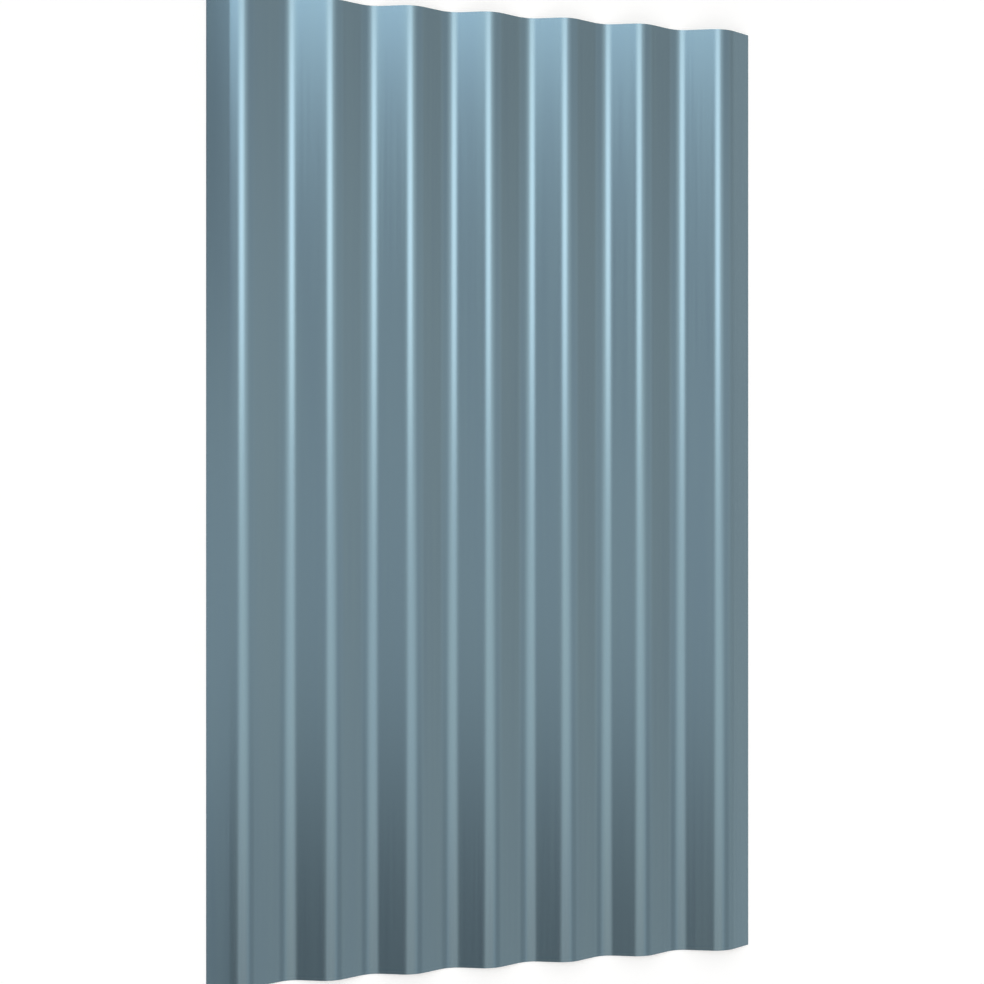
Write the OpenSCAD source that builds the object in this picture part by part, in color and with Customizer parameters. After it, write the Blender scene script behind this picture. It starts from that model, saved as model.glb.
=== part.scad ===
// Corrugated steel roofing sheet: one coated steel sheet, roll-formed into round waves
// that run along its length. It lies on its valleys and its two long edges, waves along Y.
// Millimetres. Origin: centre of the sheet, on the plane that the valleys stand on.

/* [Sheet] */
// Length along the waves
sheet_length = 2000; // [500:10:6000]
// Thickness of the coated steel
thickness = 0.5; // [0.3:0.05:1.5]

/* [Waves] */
// Number of crests across the sheet
waves = 7; // [2:1:14]
// Distance from one valley to the next
pitch = 169; // [130:1:260]
// Rise from a valley to a crest, other than the two outermost crests
depth = 25; // [16:0.5:40]
// Flat part of each flank, between the bend of the crest and the bend of the valley
flank_flat = 40; // [10:1:60]

/* [Outermost waves] */
// Flat that is added to the flank climbing to each outermost crest, which lifts it for the lap
outer_extra_flat = 13; // [0:1:40]
// Slope of the flank that runs from each outermost crest down to the cut edge, in degrees
edge_slope = 28; // [20:1:35]

/* [Finish] */
// Number of facets round each bend. An even number puts a corner on its top or bottom line.
bend_facets = 16; // [4:2:32]

/* [Hidden] */
coating = [0.42, 0.50, 0.54];

half_pitch = pitch / 2;
half_wall = thickness / 2;
half_facets = bend_facets / 2;
// Radius of every bend at the middle of the steel: the one that leaves flank_flat between them
bend_r = (pow(half_pitch, 2) + pow(depth, 2) - pow(flank_flat, 2)) / (4 * depth);
// Height between the centres of a crest bend and a valley bend
centre_rise = 2 * bend_r - depth;
flank_slope = atan2(2 * bend_r, flank_flat) - atan2(centre_rise, half_pitch);

// Place of the outermost crests, which the extra flat moves out and up
outer_crest_x = (waves - 1) * half_pitch + outer_extra_flat * cos(flank_slope);
outer_crest_z = depth + outer_extra_flat * sin(flank_slope);

// The sheet is cut where the underside of its outer flanks comes down to that of the valleys
lower_bend_r = bend_r - half_wall;
lower_bend_z = outer_crest_z - bend_r + lower_bend_r * cos(edge_slope);
half_width = outer_crest_x + lower_bend_r * sin(edge_slope)
    + (lower_bend_z + half_wall) / tan(edge_slope);

// Points round a bend from its left slope to its right slope. Its line is at x, z at the middle
// of the steel. bulge is 1 for a crest and -1 for a valley; side is 1 on the upper face of the
// steel and -1 on the lower face.
function bend(x, z, bulge, side, left_slope, right_slope) =
    let (r = bend_r + bulge * side * half_wall)
    [for (i = [-half_facets:half_facets])
        let (angle = (i < 0 ? left_slope : right_slope) * i / half_facets)
        [x + r * sin(angle), z + bulge * (r * cos(angle) - bend_r)]];

function crest(x, side) = bend(x, depth, 1, side, flank_slope, flank_slope);
function valley(x, side) = bend(x, 0, -1, side, flank_slope, flank_slope);

// Height of a face of the steel at the cut edges
function edge_z(side) = -half_wall + (side > 0 ? thickness / cos(edge_slope) : 0);

// One face of the steel from the left edge to the right edge
function face_points(side) = [
    [-half_width, edge_z(side)],
    each bend(-outer_crest_x, outer_crest_z, 1, side, edge_slope, flank_slope),
    for (w = [1:waves - 1]) each [
        each valley((w - waves / 2) * pitch, side),
        each w < waves - 1 ? crest((w - waves / 2) * pitch + half_pitch, side) : []
    ],
    each bend(outer_crest_x, outer_crest_z, 1, side, flank_slope, edge_slope),
    [half_width, edge_z(side)]
];

function reversed(points) = [for (i = [len(points) - 1:-1:0]) points[i]];

// Cross-section of the steel: the upper face, then back along the lower face
module wave_section() {
    polygon(concat(face_points(1), reversed(face_points(-1))));
}

module corrugated_sheet() {
    color(coating)
        translate([0, sheet_length / 2, half_wall])
            rotate([90, 0, 0])
                linear_extrude(height = sheet_length)
                    wave_section();
}

corrugated_sheet();
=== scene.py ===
"""Corrugated steel sheet with a satin blue-grey coat, lying on its valleys on a pale studio floor.

Metres. X runs across the waves, Y along them and Z up out of the coated face.
"""

import math

import bmesh
import bpy
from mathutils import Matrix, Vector


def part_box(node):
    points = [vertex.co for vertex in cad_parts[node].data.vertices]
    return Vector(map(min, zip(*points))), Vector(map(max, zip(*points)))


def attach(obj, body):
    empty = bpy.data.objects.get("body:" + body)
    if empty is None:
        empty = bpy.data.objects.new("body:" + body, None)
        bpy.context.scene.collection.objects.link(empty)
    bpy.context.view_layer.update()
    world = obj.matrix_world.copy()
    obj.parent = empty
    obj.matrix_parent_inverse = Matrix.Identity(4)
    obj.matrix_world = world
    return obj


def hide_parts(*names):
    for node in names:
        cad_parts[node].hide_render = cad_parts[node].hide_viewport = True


MM = 0.001

# The rolled section, at the middle of the steel
LENGTH = 2000 * MM
THICKNESS = 0.5 * MM
WAVES = 7
PITCH = 169 * MM
DEPTH = 25 * MM
FLANK_FLAT = 40 * MM
OUTER_EXTRA_FLAT = 13 * MM
EDGE_SLOPE = math.radians(28)

HALF_WALL = THICKNESS / 2
BEND_R = ((PITCH / 2) ** 2 + DEPTH**2 - FLANK_FLAT**2) / (4 * DEPTH)
FLANK_SLOPE = math.atan2(2 * BEND_R, FLANK_FLAT) - math.atan2(2 * BEND_R - DEPTH, PITCH / 2)

# How finely it is made
BEND_STEPS = 24
MERGE_DISTANCE = 0.01 * MM
DEBURR = 0.06 * MM
DEBURR_STEPS = 2
SHARP_CORNER = math.radians(60)

# Coat: metal flake content, its darkest and lightest colour, and its smoothest and dullest place
COAT_METALLIC = 0.75
COAT_DARK = (0.190, 0.290, 0.358)
COAT_LIGHT = (0.207, 0.312, 0.367)
COAT_ROUGHNESS = (0.19, 0.22)
# Draw marks that the rolls leave along the waves. Scales are in waves per metre, stretches are
# factors on it along X, Y and Z, and depths are metres of bump.
MARK_SCALE = 140
MARK_STRETCH = (1.0, 0.012, 1.0)
MARK_SHARE = 0.6
MARK_DEPTH = 0.0012 * MM
CLOUD_SCALE = 5
CLOUD_STRETCH = (1.0, 0.25, 1.0)
PEEL_SCALE = 420
PEEL_DEPTH = 0.002 * MM
GRAIN_SCALE = 2600
GRAIN_DEPTH = 0.0003 * MM

# Primer on the underside
PRIMER_DARK = (0.46, 0.47, 0.46)
PRIMER_LIGHT = (0.51, 0.52, 0.51)
PRIMER_ROUGHNESS = (0.48, 0.58)
PRIMER_CLOUD_SCALE = 9
PRIMER_CLOUD_STRETCH = (1.0, 0.2, 1.0)
PRIMER_GRAIN_SCALE = 1800
PRIMER_GRAIN_DEPTH = 0.002 * MM

# Bare steel and zinc on the sheared edges
CUT_METALLIC = 1.0
CUT_DARK = (0.33, 0.34, 0.35)
CUT_LIGHT = (0.48, 0.49, 0.50)
CUT_ROUGHNESS = (0.35, 0.55)
BURR_SCALE = 900
BURR_DEPTH = 0.02 * MM

# Noise keeps mostly between these two values
NOISE_LOW = 0.3
NOISE_HIGH = 0.7

# The floor, just under the sheet. It glows a little, as a lit white table does.
FLOOR_REACH = 60
FLOOR_CELLS = 4
FLOOR_DROP = 0.2 * MM
FLOOR_DARK = (0.90, 0.90, 0.90)
FLOOR_LIGHT = (0.92, 0.92, 0.92)
FLOOR_CLOUD_SCALE = 1.5
FLOOR_ROUGHNESS = 0.9
FLOOR_SPECULAR = 0.2
FLOOR_GLOW = 0.22

# The camera stands over the left part of the sheet and looks down to the right
CAMERA_AT = (-0.931, -0.0044, 3.387)
CAMERA_TILT = math.radians(-15.464)
CAMERA_REACH = 200
LENS_MM = 61.03
SENSOR_MM = 36.0

# The room round the sheet, by direction. Across is the tilt from straight up towards +X and along
# is the height towards +Y, both in degrees. A strength of 1 is the white of the floor.
WHITE = (1.0, 1.0, 1.0)
DOME_TOP = 0.69
DOME_RIM = 1.0
RIM_HEIGHT = 0.2
DOME_ENDS = 0.3
END_START = 30
END_FULL = 50
# Name: colour, strength, edges across and edges along. The four edges of each are where it
# starts, where it is full, where it starts to fade and where it ends.
SOFT_LIGHTS = {
    "key": ((1.0, 0.97, 0.95), 2.05, (-15, -3, 3, 13), (0, 7, 14, 20)),
    "far_strip": ((1.0, 0.98, 0.92), 0.68, (-18, -7, 7, 30), (-4, 3, 30, 45)),
    "wide_strip": ((1.0, 0.98, 0.89), 0.66, (-18, -4, 11, 33), (-17, -7, -4, 3)),
    "near_strip": ((1.0, 0.80, 0.68), 0.56, (-26, -6, 11, 26), (-45, -30, -17, -7)),
    "broad": ((0.88, 1.0, 1.08), 2.35, (-49, -45, -16, -6), (13, 19, 26, 36)),
    "right_fill": ((1.0, 0.86, 0.72), 0.2, (42, 55, 80, 88), (-60, -45, 45, 60)),
}
# Name: strength that it takes off the dome, edges across and edges along
DARK_CLOTHS = {
    "near_left": (0.61, (-55, -46, -18, -8), (-45, -30, -14.5, -6)),
    "near_right": (0.30, (20, 34, 44, 58), (-45, -30, -12, -6)),
    "near_middle": (0.52, (-14, -6, 14, 24), (-45, -30, -16, -8)),
    "far_left": (0.12, (-80, -60, -20, -10), (0, 8, 30, 45)),
    "far_left_edge": (0.52, (-88, -75, -51, -47), (2, 15, 40, 60)),
    "far_right": (0.14, (4, 14, 60, 75), (7, 17, 30, 50)),
    "right_rim": (0.27, (46, 60, 80, 88), (-60, -45, 45, 60)),
}


# ---------------------------------------------------------------- rolling the sheet


def roll_flat(bm, tip, heading, length):
    """A flat part of the steel's line, from tip at a heading above level. Gives its far end."""
    end = bmesh.ops.extrude_vert_indiv(bm, verts=[tip])["verts"][0]
    step = Vector((math.cos(heading), 0, math.sin(heading))) * length
    bmesh.ops.translate(bm, verts=[end], vec=step)
    return end


def roll_bend(bm, tip, heading, turn):
    """A bend of the steel's line that turns it up, or down where turn is below 0. Gives its end."""
    up_side = Vector((-math.sin(heading), 0, math.cos(heading)))
    made = bmesh.ops.spin(
        bm,
        geom=[tip],
        cent=tip.co + up_side * math.copysign(BEND_R, turn),
        axis=(0, 1, 0),
        angle=-turn,
        steps=BEND_STEPS,
        use_duplicate=False,
    )
    return next(part for part in made["geom_last"] if isinstance(part, bmesh.types.BMVert))


def edge_place(cad_low):
    """Left end of the steel's line, and the length of the flat that runs up from it."""
    # From the upper corner of the cut edge to the middle of the steel
    reach = Vector((math.sin(EDGE_SLOPE), 0, -math.cos(EDGE_SLOPE))) * HALF_WALL
    crest_x = (WAVES - 1) * PITCH / 2 + OUTER_EXTRA_FLAT * math.cos(FLANK_SLOPE)
    crest_z = HALF_WALL + DEPTH + OUTER_EXTRA_FLAT * math.sin(FLANK_SLOPE)
    bend_start_x = -crest_x - BEND_R * math.sin(EDGE_SLOPE)
    bend_start_z = crest_z - BEND_R * (1 - math.cos(EDGE_SLOPE))
    start_x = cad_low.x + reach.x
    flat = (bend_start_x - start_x) / math.cos(EDGE_SLOPE)
    return Vector((start_x, cad_low.y, bend_start_z - flat * math.sin(EDGE_SLOPE))), flat


def roll_wave_line(bm, cad_low):
    """The middle of the steel from the left cut edge to the right one, rolled bend by bend."""
    start, edge_flat = edge_place(cad_low)
    outer_turn = EDGE_SLOPE + FLANK_SLOPE
    inner_turn = 2 * FLANK_SLOPE
    tip = bm.verts.new(start)
    tip = roll_flat(bm, tip, EDGE_SLOPE, edge_flat)
    tip = roll_bend(bm, tip, EDGE_SLOPE, -outer_turn)
    tip = roll_flat(bm, tip, -FLANK_SLOPE, FLANK_FLAT + OUTER_EXTRA_FLAT)
    for _ in range(WAVES - 2):
        tip = roll_bend(bm, tip, -FLANK_SLOPE, inner_turn)
        tip = roll_flat(bm, tip, FLANK_SLOPE, FLANK_FLAT)
        tip = roll_bend(bm, tip, FLANK_SLOPE, -inner_turn)
        tip = roll_flat(bm, tip, -FLANK_SLOPE, FLANK_FLAT)
    tip = roll_bend(bm, tip, -FLANK_SLOPE, inner_turn)
    tip = roll_flat(bm, tip, FLANK_SLOPE, FLANK_FLAT + OUTER_EXTRA_FLAT)
    tip = roll_bend(bm, tip, FLANK_SLOPE, -outer_turn)
    roll_flat(bm, tip, -EDGE_SLOPE, edge_flat)


def run_out_length(bm):
    """Draws the line out along Y to the sheet's length, as one smooth skin that faces up."""
    made = bmesh.ops.extrude_edge_only(bm, edges=bm.edges[:])
    far_end = [part for part in made["geom"] if isinstance(part, bmesh.types.BMVert)]
    bmesh.ops.translate(bm, verts=far_end, vec=(0, LENGTH, 0))
    bmesh.ops.remove_doubles(bm, verts=bm.verts[:], dist=MERGE_DISTANCE)
    bmesh.ops.recalc_face_normals(bm, faces=bm.faces[:])
    if sum(face.normal.z for face in bm.faces) < 0:
        bmesh.ops.reverse_faces(bm, faces=bm.faces[:])
    for face in bm.faces:
        face.smooth = True


def placed(name, bm, *finishes):
    """The finished bmesh as an object of that name in the scene, with its materials."""
    mesh = bpy.data.meshes.new(name)
    bm.to_mesh(mesh)
    bm.free()
    for finish in finishes:
        mesh.materials.append(finish)
    made = bpy.data.objects.new(name, mesh)
    bpy.context.scene.collection.objects.link(made)
    return made


def build_sheet(cad_low):
    """The rolled sheet as one piece, with its coat, its backing coat and its bare cut edges."""
    bm = bmesh.new()
    roll_wave_line(bm, cad_low)
    run_out_length(bm)
    sheet = placed("rolled_sheet", bm, blue_grey_coat(), backing_coat(), cut_steel())
    add_wall(sheet)
    add_deburr(sheet)
    return sheet


def add_wall(sheet):
    """Gives the line of the steel its thickness, half to each side."""
    wall = sheet.modifiers.new("wall", "SOLIDIFY")
    wall.thickness = THICKNESS
    wall.offset = 0
    wall.use_even_offset = True
    # The coat is the first material, the backing coat the second and the cut edges the third
    wall.material_offset = 1
    wall.material_offset_rim = 2


def add_deburr(sheet):
    """Breaks the sharp corners of the cut edges."""
    deburr = sheet.modifiers.new("deburr", "BEVEL")
    deburr.width = DEBURR
    deburr.segments = DEBURR_STEPS
    deburr.limit_method = "ANGLE"
    deburr.angle_limit = SHARP_CORNER
    deburr.harden_normals = True


# ---------------------------------------------------------------- node helpers


def new_material(name):
    """A new material, its node tree, its shader, and the coordinates of the piece that it is on."""
    material = bpy.data.materials.new(name)
    material.use_nodes = True
    tree = material.node_tree
    place = tree.nodes.new("ShaderNodeTexCoord").outputs["Object"]
    return material, tree, tree.nodes["Principled BSDF"], place


def stretched(tree, place, scale):
    """Object coordinates, scaled apart along X, Y and Z."""
    mapping = tree.nodes.new("ShaderNodeMapping")
    mapping.inputs["Scale"].default_value = scale
    tree.links.new(place, mapping.inputs["Vector"])
    return mapping.outputs["Vector"]


def noise(tree, place, scale, detail=2.0, rough=0.5):
    """Even noise from 0 to 1 on object coordinates, in waves per metre."""
    texture = tree.nodes.new("ShaderNodeTexNoise")
    texture.inputs["Scale"].default_value = scale
    texture.inputs["Detail"].default_value = detail
    texture.inputs["Roughness"].default_value = rough
    tree.links.new(place, texture.inputs["Vector"])
    return texture.outputs["Fac"]


def spread(tree, value, low, high):
    """Noise brought from its usual range to low..high."""
    return ranged(tree, value, "LINEAR", NOISE_LOW, NOISE_HIGH, low, high)


def ramp(tree, value, edge_low, edge_high, low=0.0, high=1.0):
    """A soft step from low to high while the value goes from edge_low to edge_high."""
    return ranged(tree, value, "SMOOTHSTEP", edge_low, edge_high, low, high)


def ranged(tree, value, way, from_low, from_high, low, high):
    """The value brought from one range to another, in a straight or a smooth way."""
    node = tree.nodes.new("ShaderNodeMapRange")
    node.interpolation_type = way
    node.inputs["From Min"].default_value = from_low
    node.inputs["From Max"].default_value = from_high
    node.inputs["To Min"].default_value = low
    node.inputs["To Max"].default_value = high
    tree.links.new(value, node.inputs["Value"])
    return node.outputs["Result"]


def two_tone(tree, value, first, second):
    """A colour between first and second, by value."""
    mix = tree.nodes.new("ShaderNodeMix")
    mix.data_type = "RGBA"
    mix.inputs["A"].default_value = (*first, 1)
    mix.inputs["B"].default_value = (*second, 1)
    tree.links.new(value, mix.inputs["Factor"])
    return mix.outputs["Result"]


def math_node(tree, operation, *values):
    """One sum of numbers or node outputs."""
    node = tree.nodes.new("ShaderNodeMath")
    node.operation = operation
    for socket, value in zip(node.inputs, values):
        if isinstance(value, (int, float)):
            socket.default_value = value
        else:
            tree.links.new(value, socket)
    return node.outputs["Value"]


def bump(tree, height, distance, below=None):
    """A bump of that height in metres where the value goes from 0 to 1, over the bump below it."""
    node = tree.nodes.new("ShaderNodeBump")
    node.inputs["Distance"].default_value = distance
    tree.links.new(height, node.inputs["Height"])
    if below is not None:
        tree.links.new(below, node.inputs["Normal"])
    return node.outputs["Normal"]


# ---------------------------------------------------------------- finishes


def blue_grey_coat():
    """Satin blue-grey coil coat: faint draw marks of the rolls along the waves, fine orange peel."""
    material, tree, shader, place = new_material("blue_grey_coat")
    shader.inputs["Metallic"].default_value = COAT_METALLIC
    marks = noise(tree, stretched(tree, place, MARK_STRETCH), MARK_SCALE, detail=3.0, rough=0.6)
    cloud = noise(tree, stretched(tree, place, CLOUD_STRETCH), CLOUD_SCALE)
    marks_part = math_node(tree, "MULTIPLY", marks, MARK_SHARE)
    cloud_part = math_node(tree, "MULTIPLY", cloud, 1 - MARK_SHARE)
    tone = math_node(tree, "ADD", marks_part, cloud_part)
    colour = two_tone(tree, spread(tree, tone, 0, 1), COAT_DARK, COAT_LIGHT)
    tree.links.new(colour, shader.inputs["Base Color"])
    tree.links.new(spread(tree, marks, *COAT_ROUGHNESS), shader.inputs["Roughness"])
    peel = noise(tree, place, PEEL_SCALE, detail=1.0)
    grain = noise(tree, place, GRAIN_SCALE)
    normal = bump(tree, peel, PEEL_DEPTH)
    normal = bump(tree, grain, GRAIN_DEPTH, normal)
    normal = bump(tree, marks, MARK_DEPTH, normal)
    tree.links.new(normal, shader.inputs["Normal"])
    return material


def backing_coat():
    """Plain light grey primer on the underside."""
    material, tree, shader, place = new_material("backing_coat")
    cloud = noise(tree, stretched(tree, place, PRIMER_CLOUD_STRETCH), PRIMER_CLOUD_SCALE, detail=3.0)
    grain = noise(tree, place, PRIMER_GRAIN_SCALE)
    colour = two_tone(tree, spread(tree, cloud, 0, 1), PRIMER_DARK, PRIMER_LIGHT)
    tree.links.new(colour, shader.inputs["Base Color"])
    tree.links.new(spread(tree, grain, *PRIMER_ROUGHNESS), shader.inputs["Roughness"])
    tree.links.new(bump(tree, grain, PRIMER_GRAIN_DEPTH), shader.inputs["Normal"])
    return material


def cut_steel():
    """Bare sheared steel with its zinc, on the cut edges."""
    material, tree, shader, place = new_material("cut_steel")
    shader.inputs["Metallic"].default_value = CUT_METALLIC
    burr = noise(tree, place, BURR_SCALE, detail=3.0, rough=0.6)
    colour = two_tone(tree, spread(tree, burr, 0, 1), CUT_DARK, CUT_LIGHT)
    tree.links.new(colour, shader.inputs["Base Color"])
    tree.links.new(spread(tree, burr, *CUT_ROUGHNESS), shader.inputs["Roughness"])
    tree.links.new(bump(tree, burr, BURR_DEPTH), shader.inputs["Normal"])
    return material


def floor_white():
    """Matt white studio floor."""
    material, tree, shader, place = new_material("floor_white")
    cloud = noise(tree, place, FLOOR_CLOUD_SCALE)
    colour = two_tone(tree, spread(tree, cloud, 0, 1), FLOOR_DARK, FLOOR_LIGHT)
    tree.links.new(colour, shader.inputs["Base Color"])
    shader.inputs["Roughness"].default_value = FLOOR_ROUGHNESS
    shader.inputs["Specular IOR Level"].default_value = FLOOR_SPECULAR
    shader.inputs["Emission Color"].default_value = (*WHITE, 1)
    shader.inputs["Emission Strength"].default_value = FLOOR_GLOW
    return material


# ---------------------------------------------------------------- studio


def band(tree, value, start, full, fade, end, strength=1.0):
    """Strength between full and fade, and softly down to 0 at start and at end."""
    rise = ramp(tree, value, start, full, 0, strength)
    return math_node(tree, "MULTIPLY", rise, ramp(tree, value, fade, end, 1, 0))


def patch(tree, across, along, strength, across_edges, along_edges):
    """A soft-edged patch of the room, of that strength."""
    across_band = band(tree, across, *across_edges, strength)
    return math_node(tree, "MULTIPLY", across_band, band(tree, along, *along_edges))


def total(tree, *values):
    """The sum of several node outputs."""
    result = values[0]
    for value in values[1:]:
        result = math_node(tree, "ADD", result, value)
    return result


def light_shader(tree, colour, strength):
    """Light of one colour, as strong as the node output says."""
    shader = tree.nodes.new("ShaderNodeBackground")
    shader.inputs["Color"].default_value = (*colour, 1)
    tree.links.new(strength, shader.inputs["Strength"])
    return shader.outputs["Background"]


def added(tree, *shaders):
    """The light of several shaders together."""
    result = shaders[0]
    for shader in shaders[1:]:
        node = tree.nodes.new("ShaderNodeAddShader")
        tree.links.new(result, node.inputs[0])
        tree.links.new(shader, node.inputs[1])
        result = node.outputs["Shader"]
    return result


def dome_strength(tree, across, along, height):
    """The even dome, brighter at its rim and its two ends, and dimmed by the dark cloths."""
    dome = ramp(tree, height, 0, RIM_HEIGHT, DOME_RIM, DOME_TOP)
    far_end = ramp(tree, along, END_START, END_FULL, 0, DOME_ENDS)
    near_end = ramp(tree, along, -END_FULL, -END_START, DOME_ENDS, 0)
    cloths = total(tree, *(patch(tree, across, along, *cloth) for cloth in DARK_CLOTHS.values()))
    left_over = math_node(tree, "SUBTRACT", total(tree, dome, far_end, near_end), cloths)
    return math_node(tree, "MAXIMUM", left_over, 0)


def build_room():
    """A soft studio room: an even dome with soft lights and dark cloths, all out of view."""
    world = bpy.data.worlds.new("studio_room")
    bpy.context.scene.world = world
    world.use_nodes = True
    tree = world.node_tree
    tree.nodes.clear()
    direction = tree.nodes.new("ShaderNodeTexCoord").outputs["Generated"]
    split = tree.nodes.new("ShaderNodeSeparateXYZ")
    tree.links.new(direction, split.inputs["Vector"])
    x, y, height = split.outputs
    across = math_node(tree, "DEGREES", math_node(tree, "ARCTAN2", x, height))
    along = math_node(tree, "DEGREES", math_node(tree, "ARCSINE", y))
    shaders = [light_shader(tree, WHITE, dome_strength(tree, across, along, height))]
    for colour, *place in SOFT_LIGHTS.values():
        shaders.append(light_shader(tree, colour, patch(tree, across, along, *place)))
    output = tree.nodes.new("ShaderNodeOutputWorld")
    tree.links.new(added(tree, *shaders), output.inputs["Surface"])


def build_floor():
    """The studio floor, just under the sheet."""
    bm = bmesh.new()
    bmesh.ops.create_grid(bm, x_segments=FLOOR_CELLS, y_segments=FLOOR_CELLS, size=FLOOR_REACH)
    bmesh.ops.translate(bm, verts=bm.verts[:], vec=(0, 0, -FLOOR_DROP))
    return placed("studio_floor", bm, floor_white())


def build_camera():
    """The camera over the sheet, with no shift and no depth of field."""
    data = bpy.data.cameras.new("camera")
    data.sensor_width = SENSOR_MM
    data.lens = LENS_MM
    data.clip_end = CAMERA_REACH
    camera = bpy.data.objects.new("camera", data)
    camera.location = CAMERA_AT
    camera.rotation_euler = (0, CAMERA_TILT, 0)
    bpy.context.scene.collection.objects.link(camera)
    bpy.context.scene.camera = camera


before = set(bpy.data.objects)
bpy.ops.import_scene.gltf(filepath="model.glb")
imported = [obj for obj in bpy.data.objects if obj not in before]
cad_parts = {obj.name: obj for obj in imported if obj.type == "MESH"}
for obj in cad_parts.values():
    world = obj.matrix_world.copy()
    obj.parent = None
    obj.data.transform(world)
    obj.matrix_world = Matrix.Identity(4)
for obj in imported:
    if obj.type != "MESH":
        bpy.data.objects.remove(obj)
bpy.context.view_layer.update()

build_camera()
build_room()
bpy.context.scene.view_settings.view_transform = "Standard"
build_floor()

sheet = build_sheet(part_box("corrugated_sheet")[0])
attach(sheet, "root")
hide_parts("corrugated_sheet")
